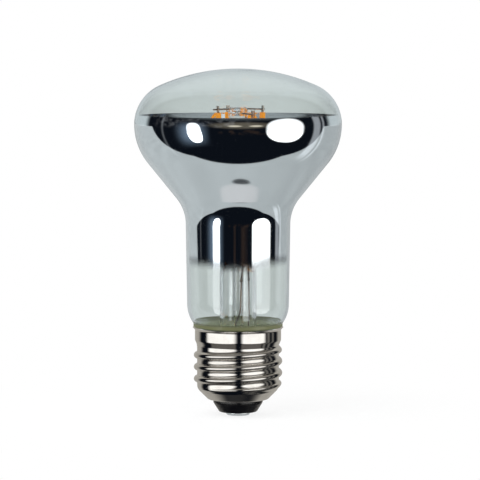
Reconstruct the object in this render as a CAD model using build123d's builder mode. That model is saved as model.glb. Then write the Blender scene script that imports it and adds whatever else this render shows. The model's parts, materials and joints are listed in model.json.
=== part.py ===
from build123d import *
from math import acos, atan2, cos, degrees, radians, sin, sqrt
import os

# Clear reflector bulb with four light strips on a glass stem and a rolled screw cap.
# Millimetres, +Z up, the origin in the middle of the tip contact's underside.

os.makedirs("parts", exist_ok=True)

# Blown glass: dome, shoulder, belly, cone, neck, heel and the skirt that is sealed inside the cap
overall_length = 105.6
bulb_diameter = 63.0
dome_radius = 58.5
shoulder_radius = 13.0
belly_radius = 18.7
cone_angle = 39.0
neck_blend_radius = 12.7
neck_diameter = 31.8
heel_diameter = 31.0
heel_height = 34.0
heel_radius = 10.0
heel_turn = 45.0
skirt_diameter = 23.2
seal_height = 20.8
glass_wall = 0.7

# Bright film on the inside of the glass, from the rim in the bowl down into the neck
film_gap = 0.02
film_thickness = 0.1
film_rim_rise = 2.95
film_bottom = 44.5

# Glass stem: flare, flattened foot, exhaust tube and the pillar with its pressed button
flare_tube_diameter = 11.2
flare_wall = 0.9
shoulder_height = 44.0
foot_bottom = 49.5
foot_top = 54.5
foot_width = 12.0
foot_thickness = 4.6
foot_turn = 59.0
cavity_top = 48.6
cavity_width = 8.8
cavity_thickness = 3.2
foot_edge_radius = 0.8
foot_step = 0.4
exhaust_diameter = 3.4
exhaust_bore = 2.0
exhaust_tip = 18.0
exhaust_seat = 50.5
blow_hole_diameter = 1.6
blow_well_height = 2.1
pillar_diameter = 4.2
button_diameter = 6.0
button_height = 3.2
button_edge_radius = 1.1
crown_gap = 11.4
wire_fit = 0.01

# Leads: stiff wire above the weld knots, thin wire below them
inner_lead_diameter = 0.6
outer_lead_diameter = 0.4
knot_diameter = 0.95
knot_height = 41.3
lead_spacing = 5.2
lead_bend = 0.8
jog_height = 45.6
bore_entry = 47.9
lead_rise = 1.1
bow_rise = 3.1
bow_span = 90.0
bow_overhang = 10.0
live_knot_place = (0.95, -2.9)
live_jog_place = (1.4, -2.6)
neutral_knot_place = (3.3, 0.9)
neutral_jog_place = (3.1, 1.0)
live_sag = (0.6, -3.0, 31.5)
live_kink = (-0.6, -3.3, 28.5)
neutral_sag = (3.45, 0.9, 31.0)

# Light strips with their end tabs, from the front left round to the front right
strip_width = 2.2
strip_thickness = 1.1
strip_edge_radius = 0.45
strip_set_down = 1.8
strip_ring_radius = 7.7
strip_lean = 3.2
cage_offset = 0.75
strip_angles = [209.0, 119.0, 29.0, 299.0]
strip_drops = [0.0, 0.0, 0.0, 1.4]
tab_length = 2.2
tab_width = 1.2
tab_thickness = 0.3
weld_gap = 0.03
bow_weld_reach = 1.855

# Wires that cross in the button and join the tops of opposite strips
support_diameter = 0.5
support_set_down = 0.8
support_dip = 1.2
support_overhang = 1.2
dip_reach = 3.6
dip_run = 1.6

# Rolled screw shell
thread_diameter = 26.4
thread_pitch = 3.629
thread_arc = 1.025
crest_height = 9.1
root_flat = 0.08
shell_wall = 0.3
shell_reach = 2.0
mouth_diameter = 16.0
mouth_height = 4.4
base_height = 7.6
base_bend = 2.5
fade_bottom = 8.0
fade_bottom_full = 9.4
fade_top_full = 20.4
fade_top = 22.6
core_top = 21.4
collar_diameter = 25.7
collar_bottom = 23.0
collar_top = 26.0
collar_bend = 1.2
rim_diameter = 27.5
rim_height = 27.4
rim_bend = 0.8

# Tip contact and the insulator that carries it
contact_diameter = 7.3
contact_tip_diameter = 5.9
contact_edge = 0.35
contact_edge_radius = 0.25
contact_height = 1.0
shank_diameter = 3.0
shank_top = 6.5
shank_floor = 2.0
insulator_tip_diameter = 12.0
insulator_edge_radius = 0.5
insulator_flange_diameter = 20.8
insulator_top = 7.6
seat = 0.05
cement_bottom = 21.6
cement_top = 26.9

# Driver in the cap: insulating cup, board and what is soldered to it
sleeve_diameter = 22.4
sleeve_wall = 0.6
sleeve_ledge = 0.8
sleeve_floor = 0.8
sleeve_hole_diameter = 6.0
sleeve_top = 18.6
bay_height = 6.55
notch_width = 1.6
notch_depth = 2.0
board_thickness = 1.0
pin_rise = 0.6
pin_fit = 0.05
pin_diameter = 0.5
solder_height = 0.6
solder_foot_diameter = 1.3
solder_tip_diameter = 0.8
resistor_diameter = 2.2
resistor_length = 4.2
resistor_cap_diameter = 2.5
resistor_cap_length = 0.9
resistor_lead_diameter = 0.6
resistor_edge_radius = 0.3
can_diameter = 6.3
can_length = 5.2
can_place = (-5.6, 1.6)
can_pin_spacing = 2.5
can_edge_radius = 0.5
can_groove_depth = 0.3
can_groove_width = 0.8
drum_diameter = 6.0
drum_length = 5.0
drum_place = (5.6, -2.6)
drum_flange = 0.9
drum_post_diameter = 2.8
coil_diameter = 5.2
coil_gap = 0.05
coil_pin_spacing = 4.0
bridge_place = (-2.6, 5.6)
bridge_size = (4.7, 3.9, 2.2)
bridge_legs = 2
bridge_pitch = 2.5
chip_place = (-4.4, -4.9)
chip_size = (4.9, 3.9, 1.4)
chip_legs = 4
chip_pitch = 1.27
leg_width = 0.45
leg_thickness = 0.2
leg_reach = 0.95
leg_foot = 0.5
package_stand_off = 0.1
package_edge = 0.25
live_hole = (-1.0, -3.6)
neutral_hole = (3.2, 3.2)
lead_straight_height = 24.0
tubing_diameter = 1.0
tubing_bore = 0.5
tubing_bottom = 16.9
tubing_top = 22.4
shell_wire_diameter = 0.5
shell_wire_hole = (-9.0, 0.0)
shell_wire_reach = 11.5
shell_wire_level = 17.6
shell_wire_top = 20.2

# Heights that follow from the length of the bulb and from the seats
mount_top = overall_length - crown_gap
support_height = mount_top - support_set_down
strip_top = mount_top - strip_set_down
bow_height = foot_top + bow_rise
tab_drop = (strip_top - bow_height) / cos(radians(strip_lean))
strip_length = tab_drop - bow_weld_reach
sleeve_bottom = insulator_top + seat
board_bottom = sleeve_bottom + sleeve_floor + bay_height
board_top = board_bottom + board_thickness
pin_top = board_top + pin_rise

# Centres of the arcs that make the glass outline, each arc tangent to the next
bulb_r = bulb_diameter / 2
neck_r = neck_diameter / 2
heel_r = heel_diameter / 2
skirt_r = skirt_diameter / 2
dome_z = overall_length - dome_radius
shoulder_x = bulb_r - shoulder_radius
equator_z = dome_z + sqrt((dome_radius - shoulder_radius) ** 2 - shoulder_x ** 2)
shoulder_angle = degrees(atan2(equator_z - dome_z, shoulder_x))
film_top = equator_z + film_rim_rise
cone = radians(cone_angle)
belly_end_x = bulb_r - belly_radius * (1 - cos(cone))
belly_end_z = equator_z - belly_radius * sin(cone)
blend_start_x = neck_r + neck_blend_radius * (1 - cos(cone))
blend_start_z = belly_end_z - (belly_end_x - blend_start_x) * cos(cone) / sin(cone)
blend_z = blend_start_z - neck_blend_radius * sin(cone)
heel = radians(heel_turn)
heel_end_x = heel_r - heel_radius * (1 - cos(heel))
heel_end_z = heel_height - heel_radius * sin(heel)
skirt_blend = (heel_end_x - skirt_r) / (1 - cos(heel))
skirt_z = heel_end_z - skirt_blend * sin(heel)


def glass_outline(inset):
    """Line from the crown to the seal, that far inside the outer skin, with its two ends."""
    with BuildLine() as outline:
        dome = CenterArc((0, dome_z), dome_radius - inset, 90, shoulder_angle - 90)
        CenterArc((shoulder_x, equator_z), shoulder_radius - inset, shoulder_angle, -shoulder_angle)
        belly = CenterArc((bulb_r - belly_radius, equator_z), belly_radius - inset, 0, -cone_angle)
        blend_x = neck_r + neck_blend_radius
        blend = CenterArc((blend_x, blend_z), neck_blend_radius + inset, 180 - cone_angle, cone_angle)
        Line(belly @ 1, blend @ 0)
        bend = CenterArc((heel_r - heel_radius, heel_height), heel_radius - inset, 0, -heel_turn)
        Line(blend @ 1, bend @ 0)
        skirt_x = skirt_r + skirt_blend
        skirt = CenterArc((skirt_x, skirt_z), skirt_blend + inset, 180 - heel_turn, heel_turn)
        Line(skirt @ 1, (skirt_r - inset, seal_height))
    return outline.edges(), dome @ 0, Vector(skirt_r - inset, seal_height)


def glass_layer(outside, inside):
    """Half section of a layer that follows the glass between two insets."""
    outer, outer_top, outer_end = glass_outline(outside)
    inner, inner_top, inner_end = glass_outline(inside)
    with BuildSketch() as layer:
        with BuildLine():
            add(outer)
            add(inner)
            Line(outer_top, inner_top)
            Line(outer_end, inner_end)
        make_face()
    return layer.sketch


def glass_fill(inset):
    """Half section of all that lies within the glass at that inset."""
    outer, top, end = glass_outline(inset)
    with BuildSketch() as fill:
        with BuildLine():
            add(outer)
            Polyline(end, (0, end.Y), top)
        make_face()
    return fill.sketch


def wire_run(points, diameter, bend, mode=Mode.ADD):
    """Round wire along straight runs that are joined by arcs."""
    with BuildLine() as route:
        FilletPolyline(*points, radius=bend)
    path = route.wires()[0]
    with BuildSketch(Plane(origin=path @ 0, z_dir=path % 0)) as section:
        Circle(diameter / 2)
    sweep(section.sketch, path=path, mode=mode)


# The blown glass envelope
with BuildPart() as glass_envelope:
    with BuildSketch(Plane.XZ):
        add(glass_layer(0, glass_wall))
    revolve(axis=Axis.Z)
glass_envelope.part.label = "glass_envelope"
export_step(glass_envelope.part, "parts/glass_envelope.step")


# The bright film lies on the inner skin of the glass between its rim and its lower edge
film_skin = glass_wall + film_gap
with BuildPart() as mirror_coating:
    with BuildSketch(Plane.XZ):
        add(glass_layer(film_skin, film_skin + film_thickness))
        with Locations((0, (film_top + film_bottom) / 2)):
            Rectangle(2 * bulb_diameter, film_top - film_bottom, mode=Mode.INTERSECT)
    revolve(axis=Axis.Z)
mirror_coating.part.label = "mirror_coating"
export_step(mirror_coating.part, "parts/mirror_coating.step")


# The flare opens at the bottom until its rim meets the skirt of the envelope
tube_r = flare_tube_diameter / 2
flare_rim_r = skirt_r - glass_wall
flare_radius = flare_rim_r - tube_r
flare_centre = seal_height + flare_radius + flare_wall
foot_plane = Plane.XY.rotated((0, 0, foot_turn))
lead_offset = lead_spacing / 2
with BuildPart() as stem_flare:
    with BuildSketch(Plane.XZ):
        with BuildLine():
            upper = CenterArc((flare_rim_r, flare_centre), flare_radius, 180, 90)
            lower = CenterArc((flare_rim_r, flare_centre), flare_radius + flare_wall, 180, 90)
            Line(upper @ 1, lower @ 1)
            shoulder = [(tube_r, shoulder_height), (tube_r - flare_wall, shoulder_height)]
            Polyline(upper @ 0, *shoulder, lower @ 0)
        make_face()
    revolve(axis=Axis.Z)
    with BuildSketch(foot_plane.offset(shoulder_height)):
        Circle(tube_r)
    with BuildSketch(foot_plane.offset(foot_bottom)):
        Ellipse(foot_width / 2 - foot_step, foot_thickness / 2 - foot_step)
    loft()
    with BuildSketch(foot_plane.offset(foot_bottom)):
        SlotOverall(foot_width, foot_thickness)
    extrude(amount=foot_top - foot_bottom)
    fillet(faces().sort_by(Axis.Z)[-1].edges(), foot_edge_radius)
    with BuildSketch(foot_plane.offset(shoulder_height)):
        Circle(tube_r - flare_wall)
    with BuildSketch(foot_plane.offset(cavity_top)):
        Ellipse(cavity_width / 2, cavity_thickness / 2)
    loft(mode=Mode.SUBTRACT)
    with BuildSketch(foot_plane.offset(shoulder_height)):
        Circle(exhaust_diameter / 2)
    extrude(amount=exhaust_seat - shoulder_height, mode=Mode.SUBTRACT)
    with BuildSketch(foot_plane.offset(exhaust_seat)):
        Circle(exhaust_bore / 2)
    extrude(amount=blow_well_height, mode=Mode.SUBTRACT)
    blow_middle = exhaust_seat + blow_well_height / 2
    blow_plane = Plane(foot_plane.location * Location((0, 0, blow_middle), (90, 0, 0)))
    with BuildSketch(blow_plane):
        Circle(blow_hole_diameter / 2)
    extrude(amount=foot_thickness, mode=Mode.SUBTRACT)
    with BuildSketch(foot_plane.offset(shoulder_height)):
        with Locations((-lead_offset, 0), (lead_offset, 0)):
            Circle(inner_lead_diameter / 2 + wire_fit)
    extrude(amount=foot_top - shoulder_height, mode=Mode.SUBTRACT)
stem_flare.part.label = "stem_flare"
export_step(stem_flare.part, "parts/stem_flare.step")


# The exhaust tube, melted shut at its lower end
exhaust_r = exhaust_diameter / 2
exhaust_inner_r = exhaust_bore / 2
tip_z = exhaust_tip + exhaust_r
with BuildPart() as exhaust_tube:
    with BuildSketch(Plane.XZ):
        with BuildLine():
            outside = CenterArc((0, tip_z), exhaust_r, -90, 90)
            inside = CenterArc((0, tip_z), exhaust_inner_r, -90, 90)
            Line(outside @ 0, inside @ 0)
            Polyline(outside @ 1, (exhaust_r, exhaust_seat), (exhaust_inner_r, exhaust_seat), inside @ 1)
        make_face()
    revolve(axis=Axis.Z)
exhaust_tube.part.label = "exhaust_tube"
export_step(exhaust_tube.part, "parts/exhaust_tube.step")


# The support wires: each runs along one diameter, to one side of the tabs that it is welded to.
# The whole cage of strips and wires sits a little to the right of the pillar's axis.
cage_centre = Vector(cage_offset, 0, 0)
weld_offset = tab_width / 2 + support_diameter / 2 + weld_gap
support_reach = strip_ring_radius + support_overhang


def support_points(angle, stations):
    """Points along a line beside the diameter at that angle, from pairs of distance and height."""
    along = Vector(cos(radians(angle)), sin(radians(angle)), 0)
    side = Vector(-along.Y, along.X, 0) * weld_offset
    middle = cage_centre + side
    return [along * distance + middle + Vector(0, 0, height) for distance, height in stations]


low_height = support_height - support_dip
front_stations = [
    (-support_reach, support_height),
    (0, support_height + support_diameter / 2),
    (support_reach, support_height),
]
rear_stations = [
    (support_reach, support_height),
    (dip_reach + dip_run, support_height),
    (dip_reach, low_height),
    (-dip_reach, low_height),
    (-support_reach, support_height - strip_drops[3]),
]
support_routes = {
    "support_wire_front": support_points(strip_angles[2], front_stations),
    "support_wire_rear": support_points(strip_angles[1], rear_stations),
}
for name, points in support_routes.items():
    with BuildPart() as support_wire:
        wire_run(points, support_diameter, lead_bend)
    support_wire.part.label = name
    export_step(support_wire.part, f"parts/{name}.step")


# The pillar stands on the foot, and the wires pass through its button
pillar_r = pillar_diameter / 2
button_r = button_diameter / 2
with BuildPart() as stem_pillar:
    with BuildSketch(Plane.XZ):
        with BuildLine():
            Polyline(
                (0, foot_top),
                (pillar_r, foot_top),
                (pillar_r, mount_top - button_height - button_edge_radius),
                (button_r, mount_top - button_height),
                (button_r, mount_top),
                (0, mount_top),
                close=True,
            )
        make_face()
        fillet(vertices().group_by(Axis.X)[-1], button_edge_radius)
    revolve(axis=Axis.Z)
    for points in support_routes.values():
        wire_run(points, support_diameter + 2 * wire_fit, lead_bend, mode=Mode.SUBTRACT)
stem_pillar.part.label = "stem_pillar"
export_step(stem_pillar.part, "parts/stem_pillar.step")


# Light strips: each leans outwards, and its tabs continue its core at both ends
def strip_plane(angle, drop):
    """Plane across the top of a strip, X pointing away from the pillar."""
    a = radians(angle)
    lean = radians(strip_lean)
    ring = Vector(strip_ring_radius * cos(a), strip_ring_radius * sin(a), strip_top - drop)
    top = cage_centre + ring
    out = Vector(cos(lean) * cos(a), cos(lean) * sin(a), -sin(lean))
    up = Vector(sin(lean) * cos(a), sin(lean) * sin(a), cos(lean))
    return Plane(origin=top, x_dir=out, z_dir=up)


for number, (angle, drop) in enumerate(zip(strip_angles, strip_drops), start=1):
    top_plane = strip_plane(angle, drop)
    with BuildPart() as led_filament:
        with BuildSketch(top_plane):
            RectangleRounded(strip_thickness, strip_width, strip_edge_radius)
        extrude(amount=-strip_length)
    led_filament.part.label = f"led_filament_{number}"
    export_step(led_filament.part, f"parts/led_filament_{number}.step")

    with BuildPart() as filament_tabs:
        with BuildSketch(top_plane):
            Rectangle(tab_thickness, tab_width)
        extrude(amount=tab_length)
        with BuildSketch(top_plane.offset(-strip_length)):
            Rectangle(tab_thickness, tab_width)
        extrude(amount=-tab_length)
    filament_tabs.part.label = f"filament_tabs_{number}"
    export_step(filament_tabs.part, f"parts/filament_tabs_{number}.step")


# Inner leads: knot, jog into the foot, rise out of it and a bow that touches two lower tabs
tab_ring_r = strip_ring_radius - tab_drop * sin(radians(strip_lean))
bow_r = tab_ring_r - tab_thickness / 2 - inner_lead_diameter / 2 - seat
foot_along = Vector(cos(radians(foot_turn)), sin(radians(foot_turn)), 0)
live_knot = Vector(*live_knot_place, knot_height)
live_jog = Vector(*live_jog_place, jog_height)
neutral_knot = Vector(*neutral_knot_place, knot_height)
neutral_jog = Vector(*neutral_jog_place, jog_height)
inner_leads = {
    "inner_lead_live": (live_knot, live_jog, -lead_offset, strip_angles[0]),
    "inner_lead_neutral": (neutral_knot, neutral_jog, lead_offset, strip_angles[2]),
}
for name, (knot, jog, offset_along, bow_start) in inner_leads.items():
    bore = foot_along * offset_along
    middle = radians(bow_start + bow_span / 2)
    with BuildPart() as inner_lead:
        route = [
            knot,
            jog,
            bore + Vector(0, 0, bore_entry),
            bore + Vector(0, 0, foot_top + lead_rise),
            cage_centre + Vector(bow_r * cos(middle), bow_r * sin(middle), bow_height),
        ]
        wire_run(route, inner_lead_diameter, lead_bend)
        with Locations(knot):
            Sphere(knot_diameter / 2)
        with BuildLine(Plane.XY.offset(bow_height)) as bow:
            CenterArc((cage_offset, 0), bow_r, bow_start - bow_overhang, bow_span + 2 * bow_overhang)
        bow_path = bow.edges()[0]
        with BuildSketch(Plane(origin=bow_path @ 0, z_dir=bow_path % 0)) as bow_section:
            Circle(inner_lead_diameter / 2)
        sweep(bow_section.sketch, path=bow_path)
    inner_lead.part.label = name
    export_step(inner_lead.part, f"parts/{name}.step")


# Outer leads hang from the knots, through the flare and down to the board
below_knot = Vector(0, 0, knot_diameter / 2 + seat)
tail_z = board_bottom - pin_rise
live_route = [
    live_knot - below_knot,
    Vector(*live_sag),
    Vector(*live_kink),
    Vector(*live_hole, lead_straight_height),
    Vector(*live_hole, tail_z),
]
neutral_route = [
    neutral_knot - below_knot,
    Vector(*neutral_sag),
    Vector(*neutral_hole, lead_straight_height),
    Vector(*neutral_hole, tail_z),
]
for name, route in {"outer_lead_live": live_route, "outer_lead_neutral": neutral_route}.items():
    with BuildPart() as outer_lead:
        wire_run(route, outer_lead_diameter, lead_bend)
    outer_lead.part.label = name
    export_step(outer_lead.part, f"parts/{name}.step")

with BuildPart() as lead_sleeves:
    with BuildSketch(Plane.XY.offset(tubing_bottom)):
        with Locations(live_hole, neutral_hole):
            Circle(tubing_diameter / 2)
            Circle(tubing_bore / 2, mode=Mode.SUBTRACT)
    extrude(amount=tubing_top - tubing_bottom)
lead_sleeves.part.label = "lead_sleeves"
export_step(lead_sleeves.part, "parts/lead_sleeves.step")


# Screw shell: a sheet of one thickness, so its inner skin is the outer one at an inset.
# Crest and root are arcs of one radius that meet halfway up the flank.
thread_r = thread_diameter / 2
half_pitch = thread_pitch / 2
centre_run = sqrt((2 * thread_arc) ** 2 - half_pitch ** 2)
root_r = thread_r - 2 * thread_arc + centre_run
core_r = root_r + root_flat
flank_angle = degrees(atan2(half_pitch, centre_run))
thread_start = crest_height - thread_pitch
thread_length = fade_top - thread_start
shell_corners = [
    (mouth_diameter / 2, mouth_height),
    (core_r, base_height),
    (core_r, core_top),
    (collar_diameter / 2, collar_bottom),
    (collar_diameter / 2, collar_top),
    (rim_diameter / 2, rim_height),
]


def parallel(corners, inset):
    """Corners of the line that runs at that distance to the left of the given one."""
    steps = [Vector(*after) - Vector(*before) for before, after in zip(corners, corners[1:])]
    lefts = [Vector(-step.Y, step.X).normalized() for step in steps]
    before_after = zip([lefts[0], *lefts], [*lefts, lefts[-1]])
    return [
        Vector(*corner) + (a + b) * (inset / (1 + a.dot(b)))
        for corner, (a, b) in zip(corners, before_after)
    ]


def shell_fill(inset, reach):
    """Half section of all that lies within the shell's plain form, run on past both ends by a reach."""
    bends = [base_bend - inset, collar_bend + inset, collar_bend - inset, rim_bend + inset]
    with BuildSketch() as fill:
        with BuildLine():
            skin = FilletPolyline(*parallel(shell_corners, inset), radius=bends)
            low = skin @ 0
            high = skin @ 1
            bottom = low.Y - reach
            top = high.Y + reach
            if reach:
                Line(low, (low.X, bottom))
                Line(high, (high.X, top))
            Polyline((low.X, bottom), (0, bottom), (0, top), (high.X, top))
        make_face()
    return fill.sketch


def thread_ridge(inset):
    """Half section of one turn of the thread, from the middle of the shell out to the crest."""
    crest_x = thread_r - thread_arc
    root_x = root_r + thread_arc
    stop = degrees(acos((root_x - root_r - root_flat / 2 + inset) / (thread_arc + inset)))
    sweep_angle = flank_angle - stop
    with BuildSketch() as ridge:
        with BuildLine():
            CenterArc((crest_x, thread_start), thread_arc - inset, -flank_angle, 2 * flank_angle)
            over = (root_x, thread_start + half_pitch)
            under = (root_x, thread_start - half_pitch)
            upper = CenterArc(over, thread_arc + inset, 180 + flank_angle, -sweep_angle)
            lower = CenterArc(under, thread_arc + inset, 180 - flank_angle, sweep_angle)
            foot_x = root_r - thread_arc - inset
            Polyline(upper @ 1, (foot_x, (upper @ 1).Y), (foot_x, (lower @ 1).Y), lower @ 1)
        make_face()
    return ridge.sketch


def fade_zone(inset):
    """Half section that lets the thread run out at both ends."""
    with BuildSketch() as zone:
        with BuildLine():
            Polyline(
                (0, fade_bottom),
                (core_r - inset, fade_bottom),
                (thread_r - inset, fade_bottom_full),
                (thread_r - inset, fade_top_full),
                (collar_diameter / 2 - inset, fade_top),
                (0, fade_top),
                close=True,
            )
        make_face()
    return zone.sketch


def cap_form(inset, reach):
    """Solid form of the threaded cap at that inset from its outer skin."""
    with BuildPart() as form:
        with BuildSketch(Plane.XZ) as turn:
            add(thread_ridge(inset))
        with BuildLine(Plane.XY.offset(thread_start)) as route:
            Helix(pitch=thread_pitch, height=thread_length, radius=thread_r)
        sweep(turn.sketch, path=route.edges()[0], is_frenet=True)
        with BuildSketch(Plane.XZ) as zone:
            add(fade_zone(inset))
        revolve(zone.sketch, axis=Axis.Z, mode=Mode.INTERSECT)
        with BuildSketch(Plane.XZ) as plain:
            add(shell_fill(inset, reach))
        revolve(plain.sketch, axis=Axis.Z)
    return form.part


with BuildPart() as screw_shell:
    add(cap_form(0, 0))
    add(cap_form(shell_wall, shell_reach), mode=Mode.SUBTRACT)
screw_shell.part.label = "screw_shell"
export_step(screw_shell.part, "parts/screw_shell.step")


# Cement between the glass and the collar
with BuildPart() as basing_cement:
    with BuildSketch(Plane.XZ):
        add(shell_fill(shell_wall + seat, shell_reach))
        add(glass_fill(-seat), mode=Mode.SUBTRACT)
        with Locations((0, (cement_bottom + cement_top) / 2)):
            Rectangle(2 * rim_diameter, cement_top - cement_bottom, mode=Mode.INTERSECT)
    revolve(axis=Axis.Z)
basing_cement.part.label = "basing_cement"
export_step(basing_cement.part, "parts/basing_cement.step")


# Insulator: a tapered base below the shell's mouth and a flange that locks over its lip
mouth_r = parallel(shell_corners, shell_wall)[0].X - seat
shank_r = shank_diameter / 2
with BuildPart() as cap_insulator:
    with BuildSketch(Plane.XZ):
        add(shell_fill(shell_wall + seat, 0))
        with Locations((0, insulator_top / 2)):
            Rectangle(insulator_flange_diameter, insulator_top, mode=Mode.INTERSECT)
        with BuildLine():
            Polyline(
                (0, contact_height),
                (insulator_tip_diameter / 2, contact_height),
                (mouth_r, mouth_height),
                (mouth_r, insulator_top),
                (0, insulator_top),
                close=True,
            )
        make_face()
        fillet(vertices().sort_by(Axis.Y)[:2].sort_by(Axis.X)[-1], insulator_edge_radius)
        with Locations((0, insulator_top / 2)):
            Rectangle(2 * shank_r + 2 * seat, insulator_top, mode=Mode.SUBTRACT)
    revolve(axis=Axis.Z)
cap_insulator.part.label = "cap_insulator"
export_step(cap_insulator.part, "parts/cap_insulator.step")


# Tip contact: a dished head on a tubular shank that grips the resistor's lead
lead_r = resistor_lead_diameter / 2
with BuildPart() as centre_contact:
    with BuildSketch(Plane.XZ):
        with BuildLine():
            Polyline(
                (0, 0),
                (contact_tip_diameter / 2, 0),
                (contact_diameter / 2, contact_height - contact_edge),
                (contact_diameter / 2, contact_height - seat),
                (shank_r, contact_height - seat),
                (shank_r, shank_top),
                (lead_r + pin_fit, shank_top),
                (lead_r + pin_fit, shank_floor),
                (0, shank_floor),
                close=True,
            )
        make_face()
        fillet(vertices().sort_by(Axis.Y)[:2].sort_by(Axis.X)[-1], contact_edge_radius)
    revolve(axis=Axis.Z)
centre_contact.part.label = "centre_contact"
export_step(centre_contact.part, "parts/centre_contact.step")


# Insulating cup with a ledge for the board and a notch for the wire to the shell
sleeve_r = sleeve_diameter / 2
board_seat_r = sleeve_r - sleeve_wall
bay_r = board_seat_r - sleeve_ledge
with BuildPart() as driver_sleeve:
    with BuildSketch(Plane.XZ):
        with BuildLine():
            Polyline(
                (sleeve_hole_diameter / 2, sleeve_bottom),
                (sleeve_r, sleeve_bottom),
                (sleeve_r, sleeve_top),
                (board_seat_r, sleeve_top),
                (board_seat_r, board_bottom),
                (bay_r, board_bottom),
                (bay_r, sleeve_bottom + sleeve_floor),
                (sleeve_hole_diameter / 2, sleeve_bottom + sleeve_floor),
                close=True,
            )
        make_face()
    revolve(axis=Axis.Z)
    with BuildSketch(Plane.XY.offset(sleeve_top)):
        with Locations((-sleeve_r, 0)):
            Rectangle(2 * sleeve_wall + seat, notch_width)
    extrude(amount=-notch_depth, mode=Mode.SUBTRACT)
driver_sleeve.part.label = "driver_sleeve"
export_step(driver_sleeve.part, "parts/driver_sleeve.step")


# Board with its drilled holes: place, wire diameter, and which side the solder is on
can_pins = [(can_place[0] + side * can_pin_spacing / 2, can_place[1]) for side in (-1, 1)]
coil_pins = [(drum_place[0] + side * coil_pin_spacing / 2, drum_place[1]) for side in (-1, 1)]
joints = [
    (live_hole, outer_lead_diameter, -1),
    (neutral_hole, outer_lead_diameter, -1),
    (shell_wire_hole, shell_wire_diameter, -1),
    ((0, 0), resistor_lead_diameter, 1),
    *[(pin, pin_diameter, 1) for pin in can_pins],
    *[(pin, pin_diameter, 1) for pin in coil_pins],
]
with BuildPart() as driver_board:
    with BuildSketch(Plane.XY.offset(board_bottom)):
        Circle(board_seat_r - seat)
        for place, diameter, side in joints:
            with Locations(place):
                Circle(diameter / 2 + pin_fit, mode=Mode.SUBTRACT)
    extrude(amount=board_thickness)
driver_board.part.label = "driver_board"
export_step(driver_board.part, "parts/driver_board.step")

with BuildPart() as solder_joints:
    for place, diameter, side in joints:
        face_z = board_top if side > 0 else board_bottom
        with BuildSketch(Plane.XY.offset(face_z)):
            with Locations(place):
                Circle(solder_foot_diameter / 2)
        with BuildSketch(Plane.XY.offset(face_z + side * solder_height)):
            with Locations(place):
                Circle(solder_tip_diameter / 2)
        loft()
        with BuildSketch(Plane.XY.offset(face_z)):
            with Locations(place):
                Circle(diameter / 2 + wire_fit)
        extrude(amount=side * solder_height, mode=Mode.SUBTRACT)
solder_joints.part.label = "solder_joints"
export_step(solder_joints.part, "parts/solder_joints.step")


# Fusible resistor in the live lead, upright on the axis
resistor_z = sleeve_bottom + sleeve_floor + (bay_height - resistor_length) / 2
with BuildPart() as fusible_resistor:
    with BuildSketch(Plane.XY.offset(resistor_z)):
        Circle(resistor_diameter / 2)
    extrude(amount=resistor_length)
    cap_rise = resistor_length - resistor_cap_length
    for level in (resistor_z, resistor_z + cap_rise):
        with BuildSketch(Plane.XY.offset(level)):
            Circle(resistor_cap_diameter / 2)
        extrude(amount=resistor_cap_length)
    rims = edges().filter_by(GeomType.CIRCLE).group_by(Axis.Z)
    fillet(rims[0] + rims[-1], resistor_edge_radius)
    with BuildSketch(Plane.XY.offset(shank_floor + seat)):
        Circle(lead_r)
    extrude(amount=pin_top - shank_floor - seat)
fusible_resistor.part.label = "fusible_resistor"
export_step(fusible_resistor.part, "parts/fusible_resistor.step")


# Can capacitor, hanging from the board with its crimp groove near the pins
can_top = board_bottom - seat
can_r = can_diameter / 2
with BuildPart() as smoothing_capacitor:
    with BuildSketch(Plane.XY.offset(can_top)):
        with Locations(can_place):
            Circle(can_r)
    extrude(amount=-can_length)
    fillet(edges().filter_by(GeomType.CIRCLE), can_edge_radius)
    with BuildSketch(Plane.XY.offset(can_top - 2 * can_groove_width)):
        with Locations(can_place):
            Circle(can_r + can_groove_depth)
            Circle(can_r - can_groove_depth, mode=Mode.SUBTRACT)
    extrude(amount=can_groove_width, mode=Mode.SUBTRACT)
    with BuildSketch(Plane.XY.offset(can_top)):
        with Locations(*can_pins):
            Circle(pin_diameter / 2)
    extrude(amount=pin_top - can_top)
smoothing_capacitor.part.label = "smoothing_capacitor"
export_step(smoothing_capacitor.part, "parts/smoothing_capacitor.step")


# Choke: a drum core, and the coil wound on it with its two pins
drum_top = board_bottom - seat
with BuildPart() as choke_core:
    with BuildSketch(Plane.XY.offset(drum_top)):
        with Locations(drum_place):
            Circle(drum_diameter / 2)
    extrude(amount=-drum_length)
    with BuildSketch(Plane.XY.offset(drum_top - drum_flange)):
        with Locations(drum_place):
            Circle(drum_diameter)
            Circle(drum_post_diameter / 2, mode=Mode.SUBTRACT)
    extrude(amount=2 * drum_flange - drum_length, mode=Mode.SUBTRACT)
    with BuildSketch(Plane.XY.offset(drum_top)):
        with Locations(*coil_pins):
            Circle(pin_diameter / 2 + pin_fit)
    extrude(amount=-drum_flange, mode=Mode.SUBTRACT)
choke_core.part.label = "choke_core"
export_step(choke_core.part, "parts/choke_core.step")

coil_top = drum_top - drum_flange - coil_gap
coil_length = drum_length - 2 * drum_flange - 2 * coil_gap
with BuildPart() as choke_winding:
    with BuildSketch(Plane.XY.offset(coil_top)):
        with Locations(drum_place):
            Circle(coil_diameter / 2)
            Circle(drum_post_diameter / 2 + coil_gap, mode=Mode.SUBTRACT)
    extrude(amount=-coil_length)
    with BuildSketch(Plane.XY.offset(coil_top)):
        with Locations(*coil_pins):
            Circle(pin_diameter / 2)
    extrude(amount=pin_top - coil_top)
choke_winding.part.label = "choke_winding"
export_step(choke_winding.part, "parts/choke_winding.step")


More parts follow.
